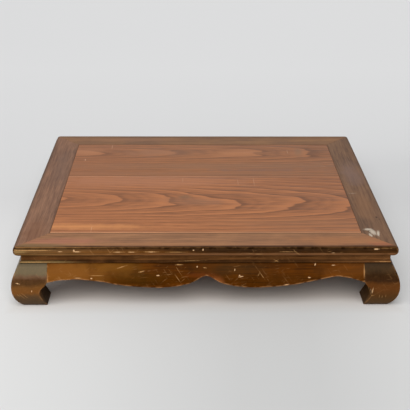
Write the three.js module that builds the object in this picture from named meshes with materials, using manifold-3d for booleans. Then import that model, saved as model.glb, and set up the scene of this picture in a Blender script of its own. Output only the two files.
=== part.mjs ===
// A low waisted table in stained wood: a mitred top frame round two loose boards,
// a recessed waist, cusped aprons and four inward-curling feet cut from square posts.
// Millimetres, +Z up, origin on the floor under the middle of the top, front towards -Y.
import * as THREE from "three";
import { mergeVertices } from "three/addons/utils/BufferGeometryUtils.js";
import Module from "manifold-3d";

const wasm = await Module();
wasm.setup();

// Driving sizes. An "inset" is measured inwards from the top's outer arris.
const topLength = 760;
const topDepth = 624;
const height = 138;
const jointGap = 0.3; // dry clearance in every joint
const frameWidth = 61;
const frameThickness = 20.5;
const mouldingReach = 5; // how far the edge moulding stands past the arris
const cornerRadius = 12; // the moulding's corners are eased by this much, seen from above
const grooveDepth = 8; // the groove that holds the boards
const grooveHeight = 6;
const boardThickness = 13;
const boardShrinkage = 0.8; // the boards have shrunk this much from the long rails
const boardSeam = 45; // where the two boards meet, behind the middle
const seamTongue = 5;
const seamTongueHeight = 4.5; // its underside, above the boards' underside
const seamTongueThickness = 4;
const seamTongueStop = 20; // it stops short of the boards' ends
const waistInset = 9;
const waistThickness = 14;
const waistHeight = 21;
const beadHeight = 4.5;
const beadReach = 2.5;
const tongueInset = 13; // tongues that key the waist to the frame and the aprons
const tongueThickness = 6;
const tongueHeight = 4;
const postWidth = frameWidth; // a leg's square block is as wide as the frame above it
const footRadius = 70;
const bulgeHeight = 48;
const bulgeReach = 12; // how far the feet stand out past the arris
const shoulderHeight = 84; // above this the shoulder runs straight
const toeDepth = 5.5; // the foot's inner edge on the floor, in from the post's face
const throatDepth = 17; // the deepest hollow above the toe
const throatHeight = 37;
const apronThickness = 19;
const apronEndHeight = 62; // the apron's lower edge where it meets a leg
const apronCrestHeight = 71;
const apronCrestSkew = 2.4; // sawn by eye: higher by this at the right-hand crest, lower at the left
const apronLobeHeight = 51;
const apronCuspHeight = 75.5;
const apronTenonLength = 10;
const apronTenonThickness = 8;
const apronTenonDepth = 20;
const apronTenonShoulder = 4; // wood left above it
const apronTenonCheek = 5; // wood left in front of it
const railTenonWidth = 24;
const railTenonInset = 20;
const railTenonThickness = 5.4;
const railTenonReach = 12; // wood left between the tenon's end and the arris
const railTenonRise = 1; // above the middle of the groove
const legTenonSize = 26;
const legTenonHeight = 4.7;
const battenWidth = 30;
const battenHeight = 15;
const battenSpacing = 300;
const battenLap = 12;
const dovetailHeight = 4;
const dovetailFlare = 3;
const dovetailSetback = 1; // inside the batten's sides
const overrun = 1; // a cutter runs past the wood, and an added part into it, by this much

const halfLength = topLength / 2;
const halfDepth = topDepth / 2;
const frameBottom = height - frameThickness;
const waistBottom = frameBottom - waistHeight;
const boardBottom = height - boardThickness;

const panelWood = new THREE.MeshStandardMaterial({ color: 0x9a6b4e, roughness: 0.55, metalness: 0 });
const frameWood = new THREE.MeshStandardMaterial({ color: 0x7d5a45, roughness: 0.6, metalness: 0 });
const apronWood = new THREE.MeshStandardMaterial({ color: 0x6b3f17, roughness: 0.4, metalness: 0 });
const legWood = new THREE.MeshStandardMaterial({ color: 0x55402c, roughness: 0.5, metalness: 0 });

const table = new THREE.Group();

function solidOf(geometry) {
  const bare = geometry.clone();
  bare.deleteAttribute("normal");
  bare.deleteAttribute("uv");
  const merged = mergeVertices(bare, 1e-3);
  return new wasm.Manifold(new wasm.Mesh({
    numProp: 3,
    vertProperties: merged.attributes.position.array,
    triVerts: new Uint32Array(merged.index.array),
  }));
}

function geometryOf(solid) {
  const mesh = solid.getMesh();
  const geometry = new THREE.BufferGeometry();
  geometry.setAttribute("position", new THREE.BufferAttribute(mesh.vertProperties, 3));
  geometry.setIndex(new THREE.BufferAttribute(mesh.triVerts, 1));
  geometry.computeVertexNormals();
  return geometry;
}

function addPiece(name, geometry, material, x = 0, y = 0, quarterTurns = 0) {
  const mesh = new THREE.Mesh(geometry, material);
  mesh.name = name;
  mesh.position.set(x, y, 0);
  mesh.rotation.z = (quarterTurns * Math.PI) / 2;
  table.add(mesh);
}

function block(x, y, z, grow = 0) {
  const size = [x, y, z].map(([low, high]) => high - low + 2 * grow);
  const middle = [x, y, z].map(([low, high]) => (low + high) / 2);
  return solidOf(new THREE.BoxGeometry(...size).translate(...middle));
}

function outline(points) {
  return new THREE.Shape(points.map(([across, up]) => new THREE.Vector2(across, up)));
}

// A moulded strip along X whose ends are mitred: every profile point ends at its own inset.
function mitredStrip(profile, halfRun, halfAcross) {
  const geometry = new THREE.ExtrudeGeometry(outline(profile), { depth: 1, bevelEnabled: false });
  const position = geometry.attributes.position;
  for (let i = 0; i < position.count; i++) {
    const inset = position.getX(i);
    const up = position.getY(i);
    const end = 2 * position.getZ(i) - 1;
    position.setXYZ(i, end * (halfRun - inset - jointGap), inset - halfAcross, up);
  }
  return solidOf(geometry);
}

// The outer face shared by the legs and the aprons: a round bulge under a straight shoulder.
function outerInset(z) {
  const rise = Math.min(z, shoulderHeight) - bulgeHeight;
  const drop = Math.sqrt(footRadius ** 2 - rise ** 2);
  const slope = rise / drop;
  return footRadius - drop - bulgeReach + Math.max(0, z - shoulderHeight) * slope;
}

function outerFace(low, high, steps) {
  return Array.from({ length: steps + 1 }, (_, i) => {
    const z = low + ((high - low) * i) / steps;
    return [outerInset(z), z];
  });
}

// A smooth run of profile points through the given ones, as [inset, height] pairs.
function smooth(points, steps) {
  const curve = new THREE.SplineCurve(points.map(([inset, z]) => new THREE.Vector2(inset, z)));
  return curve.getPoints(steps).map((p) => [p.x, p.y]);
}

// The top frame's edge, downwards: a square fillet, a quirk, a round thumb, a groove and a bead
// that turns in to the underside.
function frameProfile() {
  const fillet = [[0, height], [-0.8, height - 1], [-0.9, height - 3.6], [0.3, height - 4.2]];
  const thumb = smooth([
    [-1.8, height - 4.7], [1 - mouldingReach, height - 7],
    [-mouldingReach, height - 10], [0.3 - mouldingReach, height - 12],
  ], 7);
  const bead = smooth([
    [0.8 - mouldingReach, height - 12.5], [-mouldingReach, height - 13.8],
    [0.7 - mouldingReach, height - 16.4], [-2.2, frameBottom + 1.7], [1.2, frameBottom + 0.3],
    [mouldingReach, frameBottom],
  ], 10);
  const keyway = [
    [tongueInset - jointGap, frameBottom],
    [tongueInset - jointGap, frameBottom + tongueHeight + jointGap],
    [tongueInset + tongueThickness + jointGap, frameBottom + tongueHeight + jointGap],
    [tongueInset + tongueThickness + jointGap, frameBottom],
  ];
  const inner = [
    [frameWidth, frameBottom],
    [frameWidth, boardBottom - jointGap],
    [frameWidth - grooveDepth, boardBottom - jointGap],
    [frameWidth - grooveDepth, boardBottom + grooveHeight],
    [frameWidth, boardBottom + grooveHeight],
    [frameWidth, height],
  ];
  return [...fillet, ...thumb, ...bead, ...keyway, ...inner];
}

// Where a leg's stub tenon enters the frame, at both ends of a strip.
function legTenonHoles(halfRun, halfAcross) {
  const low = (postWidth - legTenonSize) / 2 + waistInset;
  return [-1, 1].map((side) => {
    const x = [halfRun - low - legTenonSize, halfRun - low].map((v) => v * side).sort((a, b) => a - b);
    const y = [low - halfAcross, low + legTenonSize - halfAcross];
    return block(x, y, [frameBottom - overrun, frameBottom + legTenonHeight], jointGap);
  });
}

// The frame's plan with eased corners, which trims the mitres' sharp points.
function easedPlan() {
  const x = halfLength + mouldingReach;
  const y = halfDepth + mouldingReach;
  const plan = new THREE.Shape();
  [[x, -y, -1], [x, y, 0], [-x, y, 1], [-x, -y, 2]].forEach(([cornerX, cornerY, quarter]) => {
    const centre = [cornerX, cornerY].map((v) => v - Math.sign(v) * cornerRadius);
    const start = (quarter * Math.PI) / 2;
    plan.absarc(...centre, cornerRadius, start, start + Math.PI / 2, false);
  });
  const depth = frameThickness + 2 * overrun;
  const prism = new THREE.ExtrudeGeometry(plan, { depth, bevelEnabled: false, curveSegments: 5 });
  return solidOf(prism.translate(0, 0, frameBottom - overrun));
}

const railTenonZ = [
  boardBottom + (grooveHeight - railTenonThickness) / 2 + railTenonRise,
  boardBottom + (grooveHeight + railTenonThickness) / 2 + railTenonRise,
];

function makeLongRail() {
  let rail = mitredStrip(frameProfile(), halfLength, halfDepth);
  for (const side of [-1, 1]) {
    const x = [halfLength - railTenonInset - railTenonWidth, halfLength - railTenonInset];
    const mortiseX = x.map((v) => v * side).sort((a, b) => a - b);
    const mortiseY = [railTenonReach - halfDepth, frameWidth + overrun - halfDepth];
    rail = rail.subtract(block(mortiseX, mortiseY, railTenonZ, jointGap));
    const lapX = [battenSpacing / 2 - battenWidth / 2, battenSpacing / 2 + battenWidth / 2];
    const notchX = lapX.map((v) => v * side).sort((a, b) => a - b);
    const notchY = [frameWidth - battenLap - halfDepth, frameWidth + overrun - halfDepth];
    rail = rail.subtract(block(notchX, notchY, [frameBottom - overrun, boardBottom], jointGap));
  }
  for (const hole of legTenonHoles(halfLength, halfDepth)) {
    rail = rail.subtract(hole);
  }
  return geometryOf(rail.intersect(easedPlan()));
}

function makeEndRail() {
  let rail = mitredStrip(frameProfile(), halfDepth, halfLength);
  const tenonY = [railTenonInset - halfLength, railTenonInset + railTenonWidth - halfLength];
  const tenonEnd = halfDepth - railTenonReach;
  rail = rail.add(block([-tenonEnd, tenonEnd], tenonY, railTenonZ));
  for (const hole of legTenonHoles(halfDepth, halfLength)) {
    rail = rail.subtract(hole);
  }
  return geometryOf(rail.intersect(easedPlan().rotate([0, 0, 90])));
}

// The dovetail that runs along a batten's top, in both boards.
function battenKey(x, grow) {
  const wide = battenWidth / 2 - dovetailSetback + grow;
  const neck = wide - dovetailFlare;
  const top = boardBottom + dovetailHeight + grow;
  const root = boardBottom - jointGap - overrun;
  const shape = outline([[x - neck, root], [x + neck, root], [x + wide, top], [x - wide, top]]);
  const run = 2 * (halfDepth - frameWidth + grooveDepth);
  const key = new THREE.ExtrudeGeometry(shape, { depth: run, bevelEnabled: false });
  return solidOf(key.rotateX(Math.PI / 2).translate(0, run / 2, 0));
}

// Front and back boards lie in the frame's groove by a rebated tongue, with a tongued seam.
function makeBoard(isFront) {
  const bodyX = halfLength - frameWidth - jointGap;
  const tongueX = bodyX + grooveDepth - jointGap;
  const edge = halfDepth - frameWidth - boardShrinkage;
  const rim = edge + grooveDepth - jointGap;
  const bodyZ = [boardBottom, height];
  const tongueZ = [boardBottom, boardBottom + grooveHeight - jointGap];
  const y = isFront ? [-edge, boardSeam] : [boardSeam + jointGap, edge];
  const rimY = isFront ? [-rim, boardSeam] : [boardSeam + jointGap, rim];
  let board = block([-bodyX, bodyX], y, bodyZ).add(block([-tongueX, tongueX], rimY, tongueZ));
  const seamX = bodyX - seamTongueStop;
  const seamY = [boardSeam - seamTongue, boardSeam + overrun];
  const seamLow = boardBottom + seamTongueHeight;
  const seamZ = [seamLow, seamLow + seamTongueThickness];
  if (isFront) {
    board = board.subtract(block([-seamX, seamX], seamY, seamZ, jointGap));
  } else {
    board = board.add(block([-seamX, seamX], seamY, seamZ));
  }
  for (const side of [-1, 1]) {
    board = board.subtract(battenKey((side * battenSpacing) / 2, jointGap));
  }
  return geometryOf(board);
}

function makeBatten(side) {
  const x = (side * battenSpacing) / 2;
  const halfRun = halfDepth - frameWidth - jointGap;
  const z = [boardBottom - jointGap - battenHeight, boardBottom - jointGap];
  const acrossX = [x - battenWidth / 2, x + battenWidth / 2];
  const lapRun = halfRun + battenLap;
  const lapZ = [frameBottom + jointGap, boardBottom - jointGap];
  const batten = block(acrossX, [-halfRun, halfRun], z).add(block(acrossX, [-lapRun, lapRun], lapZ));
  return geometryOf(batten.add(battenKey(x, 0)));
}

function waistProfile() {
  const back = waistInset + waistThickness;
  const low = waistBottom + jointGap;
  const high = frameBottom - jointGap;
  const bead = smooth([
    [waistInset - 0.4, low + beadHeight], [waistInset - beadReach, low + beadHeight * 0.55],
    [waistInset - 1, low],
  ], 6);
  return [
    [waistInset, high], [waistInset + 0.3, low + beadHeight + 0.7], ...bead, [back, low], [back, high],
    [tongueInset + tongueThickness, high], [tongueInset + tongueThickness, frameBottom + tongueHeight],
    [tongueInset, frameBottom + tongueHeight], [tongueInset, high],
  ];
}

function apronTongue(halfRun, halfAcross, grow) {
  const run = halfRun - postWidth - 2 * jointGap;
  const y = [tongueInset - halfAcross, tongueInset + tongueThickness - halfAcross];
  return block([-run, run], y, [waistBottom - overrun, waistBottom + tongueHeight], grow);
}

function makeWaist(halfRun, halfAcross) {
  const strip = mitredStrip(waistProfile(), halfRun, halfAcross);
  return geometryOf(strip.subtract(apronTongue(halfRun, halfAcross, jointGap)));
}

// Half of the apron's lower edge, from the cusp in the middle over a lobe and a crest to the leg.
// Each point is a share of the half's length and a height.
function apronEdge(span, skew) {
  const crest = apronCrestHeight + skew;
  const points = [
    [0, apronCuspHeight], [0.03, apronCuspHeight - 3], [0.07, apronCuspHeight - 10.3],
    [0.1, apronLobeHeight + 9.4], [0.13, apronLobeHeight + 6.9], [0.19, apronLobeHeight + 2.8],
    [0.28, apronLobeHeight], [0.36, apronLobeHeight + 0.5], [0.45, apronLobeHeight + 2.4],
    [0.56, apronLobeHeight + 6.6], [0.66, apronCrestHeight - 7.1], [0.81, crest],
    [0.87, crest - 1], [0.93, (crest + apronEndHeight) / 2 + 1.3], [1, apronEndHeight],
  ];
  return smooth(points.map(([share, z]) => [share * span, z]), 42);
}

// The apron's outline from leg to leg, seen from the front.
function apronOutline(span) {
  const right = apronEdge(span, apronCrestSkew);
  const left = apronEdge(span, -apronCrestSkew);
  const mirrored = left.slice(1).map(([x, z]) => [-x, z]).reverse();
  return [[-span, waistBottom], ...mirrored, ...right, [span, waistBottom]];
}

function makeApron(halfRun, halfAcross) {
  const span = halfRun - postWidth - jointGap;
  const face = outerFace(apronLobeHeight - 2, waistBottom, 14);
  const section = [...face, ...face.map(([inset, z]) => [inset + apronThickness, z]).reverse()];
  const bar = new THREE.ExtrudeGeometry(outline(section), { depth: 2 * span, bevelEnabled: false });
  const turn = new THREE.Matrix4().makeBasis(
    new THREE.Vector3(0, 1, 0), new THREE.Vector3(0, 0, 1), new THREE.Vector3(1, 0, 0));
  bar.applyMatrix4(turn).translate(-span, -halfAcross, 0);
  const back = outerInset(waistBottom) + apronThickness + overrun;
  const depth = back + bulgeReach + overrun;
  const cut = new THREE.ExtrudeGeometry(outline(apronOutline(span)), { depth, bevelEnabled: false });
  cut.rotateX(Math.PI / 2).translate(0, back - halfAcross, 0);
  let apron = solidOf(bar).intersect(solidOf(cut)).add(apronTongue(halfRun, halfAcross, 0));
  for (const side of [-1, 1]) {
    const x = [span - overrun, span + apronTenonLength].map((v) => v * side).sort((a, b) => a - b);
    apron = apron.add(block(x, apronTenonY(halfAcross), apronTenonZ));
  }
  return geometryOf(apron);
}

const apronTenonTop = waistBottom - apronTenonShoulder;
const apronTenonZ = [apronTenonTop - apronTenonDepth, apronTenonTop];
const apronTenonLow = outerInset(apronTenonTop) + apronTenonCheek;

function apronTenonY(halfAcross) {
  return [apronTenonLow - halfAcross, apronTenonLow + apronTenonThickness - halfAcross];
}

// The leg seen from one side: a round outer face and a throat hollowed above the foot's tip.
function legOutline() {
  const throat = postWidth - throatDepth;
  const inner = smooth([
    [postWidth - toeDepth, 0], [throat + 6.6, throatHeight * 0.38], [throat + 1.6, throatHeight * 0.76],
    [throat, throatHeight], [throat + 2.6, throatHeight + 8.5], [postWidth - 6, apronEndHeight - 7.9],
    [postWidth - 2.8, apronEndHeight - 3.4], [postWidth, apronEndHeight],
  ], 26);
  return [...outerFace(0, waistBottom, 24).reverse(), ...inner, [postWidth, waistBottom]];
}

// A leg is built in its own corner, with X and Y both measured inwards from the arris.
function makeLeg() {
  const depth = bulgeReach + postWidth + 2 * overrun;
  const side = new THREE.ExtrudeGeometry(outline(legOutline()), { depth, bevelEnabled: false });
  const alongY = side.clone().rotateX(Math.PI / 2).translate(0, postWidth + overrun, 0);
  const turn = new THREE.Matrix4().makeBasis(
    new THREE.Vector3(0, 1, 0), new THREE.Vector3(0, 0, 1), new THREE.Vector3(1, 0, 0));
  const alongX = side.clone().applyMatrix4(turn).translate(-bulgeReach - overrun, 0, 0);
  let leg = solidOf(alongY).intersect(solidOf(alongX));
  const post = [waistInset + waistThickness + jointGap, postWidth];
  leg = leg.add(block(post, post, [waistBottom - overrun, frameBottom - jointGap]));
  const low = (postWidth - legTenonSize) / 2 + waistInset;
  const stub = [low, low + legTenonSize];
  leg = leg.add(block(stub, stub, [frameBottom - overrun, frameBottom + legTenonHeight - jointGap]));
  const mortiseAlong = [postWidth - apronTenonLength - jointGap, postWidth + overrun];
  leg = leg.subtract(block(mortiseAlong, apronTenonY(0), apronTenonZ, jointGap));
  leg = leg.subtract(block(apronTenonY(0), mortiseAlong, apronTenonZ, jointGap));
  return geometryOf(leg);
}

const longRail = makeLongRail();
const endRail = makeEndRail();
addPiece("front_rail", longRail, frameWood);
addPiece("back_rail", longRail, frameWood, 0, 0, 2);
addPiece("right_end_rail", endRail, frameWood, 0, 0, 1);
addPiece("left_end_rail", endRail, frameWood, 0, 0, -1);
addPiece("front_board", makeBoard(true), panelWood);
addPiece("back_board", makeBoard(false), panelWood);
addPiece("left_batten", makeBatten(-1), frameWood);
addPiece("right_batten", makeBatten(1), frameWood);

const longWaist = makeWaist(halfLength, halfDepth);
const endWaist = makeWaist(halfDepth, halfLength);
addPiece("front_waist", longWaist, apronWood);
addPiece("back_waist", longWaist, apronWood, 0, 0, 2);
addPiece("right_waist", endWaist, apronWood, 0, 0, 1);
addPiece("left_waist", endWaist, apronWood, 0, 0, -1);

const longApron = makeApron(halfLength, halfDepth);
const endApron = makeApron(halfDepth, halfLength);
addPiece("front_apron", longApron, apronWood);
addPiece("back_apron", longApron, apronWood, 0, 0, 2);
addPiece("right_apron", endApron, apronWood, 0, 0, 1);
addPiece("left_apron", endApron, apronWood, 0, 0, -1);

const leg = makeLeg();
addPiece("front_left_leg", leg, legWood, -halfLength, -halfDepth, 0);
addPiece("front_right_leg", leg, legWood, halfLength, -halfDepth, 1);
addPiece("back_right_leg", leg, legWood, halfLength, halfDepth, 2);
addPiece("back_left_leg", leg, legWood, -halfLength, halfDepth, -1);

export default table;
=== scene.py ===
import math

import bmesh
import bpy
import numpy as np
from mathutils import Matrix, Vector
from mathutils.kdtree import KDTree


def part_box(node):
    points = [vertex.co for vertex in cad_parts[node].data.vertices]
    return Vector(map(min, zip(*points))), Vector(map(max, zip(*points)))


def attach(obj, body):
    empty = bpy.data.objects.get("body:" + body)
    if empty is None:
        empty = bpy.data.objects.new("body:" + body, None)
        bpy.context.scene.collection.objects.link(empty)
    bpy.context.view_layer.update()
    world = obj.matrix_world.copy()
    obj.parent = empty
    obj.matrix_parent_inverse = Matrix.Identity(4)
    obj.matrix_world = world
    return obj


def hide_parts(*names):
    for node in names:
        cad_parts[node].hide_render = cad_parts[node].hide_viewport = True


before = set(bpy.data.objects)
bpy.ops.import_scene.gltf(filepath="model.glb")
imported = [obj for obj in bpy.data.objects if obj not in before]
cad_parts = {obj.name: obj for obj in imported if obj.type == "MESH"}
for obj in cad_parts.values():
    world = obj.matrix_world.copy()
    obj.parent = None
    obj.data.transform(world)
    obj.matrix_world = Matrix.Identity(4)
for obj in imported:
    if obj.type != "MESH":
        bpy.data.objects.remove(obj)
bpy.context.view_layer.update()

# The two boards that fill the frame.
# Plain-sawn hardwood with wide growth rings, planed, stained warm brown and rubbed nearly matt.
# They float in the frame's groove and meet in a tongued seam behind the middle.
MM = 0.001
top_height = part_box("front_board")[1][2]
half_depth = 312 * MM  # to the top's outer arris, front and back
board_tongue = 7.7 * MM
panel_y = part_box("back_board")[1][1] - board_tongue
seam_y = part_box("front_board")[1][1]
fibre_width = 1.5 * MM  # real fibres are finer; this is as fine as the render can show
fibre_length = 45 * MM
arris_angle = math.radians(35)  # two faces that turn by more than this meet in an arris


def srgb(code):
    """An sRGB hex colour as linear RGBA."""
    parts = [int(code[i:i + 2], 16) / 255 for i in (0, 2, 4)]
    return (*[p / 12.92 if p <= 0.04045 else ((p + 0.055) / 1.055) ** 2.4 for p in parts], 1)


def add(tree, kind, inputs=None, stops=None, **settings):
    """Adds a node with its settings. Each input is a value, or the node or socket it is linked from."""
    node = tree.nodes.new(kind)
    for key, value in settings.items():
        setattr(node, key, value)
    for key, value in (inputs or {}).items():
        if isinstance(value, bpy.types.Node):
            value = next(socket for socket in value.outputs if socket.enabled)
        if isinstance(value, bpy.types.NodeSocket):
            tree.links.new(value, node.inputs[key])
        else:
            node.inputs[key].default_value = value
    if stops:
        for place, _ in stops[1:-1]:
            node.color_ramp.elements.new(place)
        for element, (place, colour) in zip(node.color_ramp.elements, stops):
            element.position = place
            element.color = colour if isinstance(colour, tuple) else (colour, colour, colour, 1)
    return node


def fibres(tree, along, width, length):
    """Streaks along the grain, 0 to 1 about 0.5."""
    stretch = [1 / width] * 3
    stretch[along] = 1 / length
    place = add(tree, "ShaderNodeTexCoord").outputs["Object"]
    drawn = add(tree, "ShaderNodeVectorMath", {0: place, 1: stretch}, operation="MULTIPLY")
    noise = {"Vector": drawn, "Scale": 1, "Detail": 3, "Roughness": 0.6}
    return add(tree, "ShaderNodeTexNoise", noise).outputs[0]


def patches(tree, size, detail=3):
    """Soft irregular patches of about that size, 0 to 1 about 0.5."""
    place = add(tree, "ShaderNodeTexCoord").outputs["Object"]
    noise = {"Vector": place, "Scale": 1 / size, "Detail": detail, "Roughness": 0.55}
    return add(tree, "ShaderNodeTexNoise", noise).outputs[0]


def swings(tree, middle, *patterns):
    """The middle value and each pattern's swing about its own middle of 0.5, times its weight."""
    total = middle - sum(weight for _, weight in patterns) / 2
    for pattern, weight in patterns:
        total = add(tree, "ShaderNodeMath", {0: pattern, 1: weight, 2: total}, operation="MULTIPLY_ADD")
    return add(tree, "ShaderNodeClamp", {0: total}).outputs[0]


def blend(tree, amount, colour, other, share=1.0):
    """The colour drawn towards another by share of the amount."""
    part = add(tree, "ShaderNodeMath", {0: amount, 1: share}, operation="MULTIPLY")
    return add(tree, "ShaderNodeMix", {0: part, 6: colour, 7: srgb(other)}, data_type="RGBA").outputs[2]


def away(tree, mark, side):
    """How far a point lies from a mark, 1 on its outline. A mark is a place on the top (X, Y) or on the front
    (X, Z), its two half sizes and its turn, in millimetres and degrees. Its third half size, into the wood,
    is larger than the relief of the face."""
    u, v, half_u, half_v, turn = mark
    if side == "top":
        seat = {"Location": (u * MM, v * MM, top_height), "Rotation": (0, 0, math.radians(turn)),
                "Scale": (half_u * MM, half_v * MM, 50 * MM)}
    else:
        seat = {"Location": (u * MM, -half_depth, v * MM), "Rotation": (0, -math.radians(turn), 0),
                "Scale": (half_u * MM, 100 * MM, half_v * MM)}
    place = add(tree, "ShaderNodeTexCoord").outputs["Object"]
    local = add(tree, "ShaderNodeMapping", {"Vector": place, **seat}, vector_type="TEXTURE")
    return add(tree, "ShaderNodeVectorMath", {0: local}, operation="LENGTH").outputs["Value"]


def tinted_by_marks(tree, colour, stains_and_painted_light, side):
    """The colour drawn towards each mark's own tint by its share, with soft wandering rims: real stains, and
    in places painted sheen, highlights or shade.
    """
    drift = add(tree, "ShaderNodeMath", {0: patches(tree, 25 * MM), 1: 1.6, 2: -0.8},
                operation="MULTIPLY_ADD")
    for mark, tint, share in stains_and_painted_light:
        far = add(tree, "ShaderNodeMath", {0: away(tree, mark, side), 1: drift}, operation="ADD")
        rim = {"Value": far, "From Min": 0.3, "From Max": 1.7, "To Min": 1.0, "To Max": 0.0}
        amount = add(tree, "ShaderNodeMapRange", rim, interpolation_type="SMOOTHSTEP")
        colour = blend(tree, amount, colour, tint, share)
    return colour


def touched(tree, marks, side):
    """1 inside the marks and 0 outside them, with ragged rims."""
    nearest = away(tree, marks[0], side)
    for mark in marks[1:]:
        nearest = add(tree, "ShaderNodeMath", {0: nearest, 1: away(tree, mark, side)}, operation="MINIMUM")
    far = add(tree, "ShaderNodeMath", {0: patches(tree, 2 * MM, 4), 1: 2.4, 2: nearest},
              operation="MULTIPLY_ADD")
    rim = {"Value": far, "From Min": 1.8, "From Max": 2.4, "To Min": 1.0, "To Max": 0.0}
    return add(tree, "ShaderNodeMapRange", rim).outputs[0]


def band(tree, axis, middle, half, share):
    """A soft line across an axis: its share on the middle, nothing beyond half its width."""
    place = add(tree, "ShaderNodeTexCoord").outputs["Object"]
    value = add(tree, "ShaderNodeSeparateXYZ", {0: place}).outputs[axis]
    off = add(tree, "ShaderNodeMath", {0: value, 1: middle}, operation="SUBTRACT")
    off = add(tree, "ShaderNodeMath", {0: off}, operation="ABSOLUTE")
    fade = {"Value": off, "From Max": half, "To Min": share, "To Max": 0.0}
    return add(tree, "ShaderNodeMapRange", fade).outputs[0]


def growth_rings(tree, log):
    """Lightness of the figure, 0 to 1, where the board's face cuts the yearly layers round the log's heart.
    The heart lies under the line Y = heart + tilt X, at a depth that grows by taper along the board. The log
    isn't round: its width counts by the share given as oval. Its sizes are in millimetres, and first is the
    reach of its first layer, from the heart."""
    bend_length, bend_width = 210 * MM, 30 * MM
    place = add(tree, "ShaderNodeTexCoord").outputs["Object"]
    axes = add(tree, "ShaderNodeSeparateXYZ", {0: place}).outputs
    aside = add(tree, "ShaderNodeMath", {0: axes["X"], 1: -log["tilt"], 2: axes["Y"]},
                operation="MULTIPLY_ADD")
    aside = add(tree, "ShaderNodeMath", {0: aside, 1: log["heart"] * MM}, operation="SUBTRACT")
    aside = add(tree, "ShaderNodeMath", {0: aside}, operation="ABSOLUTE")
    aside = add(tree, "ShaderNodeMath", {0: aside, 1: log["oval"]}, operation="MULTIPLY")
    deep = add(tree, "ShaderNodeMath", {0: axes["X"], 1: log["taper"], 2: log["depth"] * MM},
               operation="MULTIPLY_ADD")
    cubes = [add(tree, "ShaderNodeMath", {0: side, 1: 3.0}, operation="POWER") for side in (aside, deep)]
    total = add(tree, "ShaderNodeMath", {0: cubes[0], 1: cubes[1]}, operation="ADD")
    reach = add(tree, "ShaderNodeMath", {0: total, 1: 1 / 3}, operation="POWER")
    stretch = (1 / bend_length, 1 / bend_width, 1 / bend_width)
    wave = add(tree, "ShaderNodeVectorMath", {0: place, 1: stretch}, operation="MULTIPLY")
    noise = {"Vector": wave, "Scale": 1, "Detail": 3, "Roughness": 0.5}
    bends = add(tree, "ShaderNodeTexNoise", noise).outputs[0]
    reach = add(tree, "ShaderNodeMath", {0: bends, 1: log["wander"] * MM, 2: reach},
                operation="MULTIPLY_ADD")
    # Each swelling is a mark where the layers bulge or dip by so many millimetres.
    for swelling, push in log["swellings"]:
        swell = {"Value": away(tree, swelling, "top"), "From Max": 2.0, "To Min": push * MM, "To Max": 0.0}
        bulge = add(tree, "ShaderNodeMapRange", swell, interpolation_type="SMOOTHSTEP")
        reach = add(tree, "ShaderNodeMath", {0: reach, 1: bulge}, operation="ADD")
    start = (log["first"] + log["wander"] / 2) * MM
    grown = add(tree, "ShaderNodeMath", {0: reach, 1: start}, operation="SUBTRACT")
    years = add(tree, "ShaderNodeMath", {0: grown, 1: log["ring"] * MM}, operation="DIVIDE")
    year = add(tree, "ShaderNodeMath", {0: years}, operation="FRACT")
    # Each year starts dark, where the spring wood's open pores take the stain, and turns lighter outwards.
    light = add(tree, "ShaderNodeValToRGB", {0: year}, stops=[
        (0, 0.0), (0.06, 0.1), (0.14, 0.4), (0.24, 0.5), (0.34, 0.36), (0.5, 0.65), (0.58, 0.5),
        (0.78, 0.8), (0.9, 1.0), (0.96, 1.0), (1, 0.0)]).outputs[0]
    # The figure is clearest over the heart and softer towards the board's edges.
    fade = {"Value": aside, "From Min": 40 * MM, "From Max": 92 * MM, "To Min": 1.0, "To Max": 0.7}
    clear = add(tree, "ShaderNodeMapRange", fade)
    swing = add(tree, "ShaderNodeMath", {0: light, 1: 0.5}, operation="SUBTRACT")
    return add(tree, "ShaderNodeMath", {0: swing, 1: clear, 2: 0.5}, operation="MULTIPLY_ADD").outputs[0]


def blank(name):
    """A new material, with its node tree and its shader."""
    material = bpy.data.materials.new(name)
    material.use_nodes = True
    return material, material.node_tree, material.node_tree.nodes["Principled BSDF"]


def board_wood(name, dark, light, log, stains_and_painted_light, scratches):
    """Plain-sawn hardwood, planed and stained: nested arches, long fine fibres, pale scratches, and edges
    paler beside the joints, with dirt in the seam."""
    material, tree, shader = blank(name)
    fine = fibres(tree, 0, fibre_width, fibre_length)
    broad = fibres(tree, 0, 9 * MM, 260 * MM)
    streaks = fibres(tree, 0, 3.5 * MM, 110 * MM)
    tone = swings(tree, 0.5, (growth_rings(tree, log), 1.15), (fine, 1.8), (streaks, 1.6), (broad, 0.9))
    colour = blend(tree, tone, srgb(dark), light)
    colour = tinted_by_marks(tree, colour, stains_and_painted_light, "top")
    for joint, share in ((2 * MM - panel_y, 0.55), (seam_y - 2 * MM, 0.35)):
        colour = blend(tree, band(tree, "Y", joint, 2.5 * MM, share), colour, "cb9c78")
    colour = blend(tree, band(tree, "Y", seam_y + 3 * MM, 4 * MM, 0.4), colour, "6a4a38")
    colour = blend(tree, touched(tree, scratches, "top"), colour, "c9a184", 0.5)
    tree.links.new(colour, shader.inputs["Base Color"])
    tree.links.new(swings(tree, 0.5, (broad, 0.3)), shader.inputs["Roughness"])
    relief = add(tree, "ShaderNodeBump", {"Height": fine, "Strength": 0.25, "Distance": 0.2 * MM})
    tree.links.new(relief.outputs[0], shader.inputs["Normal"])
    # Rubbed almost matt: the photo shows next to no reflection, and more would lay the window's veil on it.
    shader.inputs["Specular IOR Level"].default_value = 0.09
    return material


def soften(mesh, name, rounding):
    """A finished copy of a closed mesh: doubles merged, flat facets joined, every arris rounded."""
    shape = bmesh.new()
    shape.from_mesh(mesh)
    bmesh.ops.remove_doubles(shape, verts=shape.verts, dist=0.05 * MM)
    bmesh.ops.dissolve_limit(shape, angle_limit=math.radians(0.4), verts=shape.verts, edges=shape.edges)
    copy = bpy.data.meshes.new(name)
    shape.to_mesh(copy)
    shape.free()
    return round_arrises(copy, name, rounding)


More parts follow.
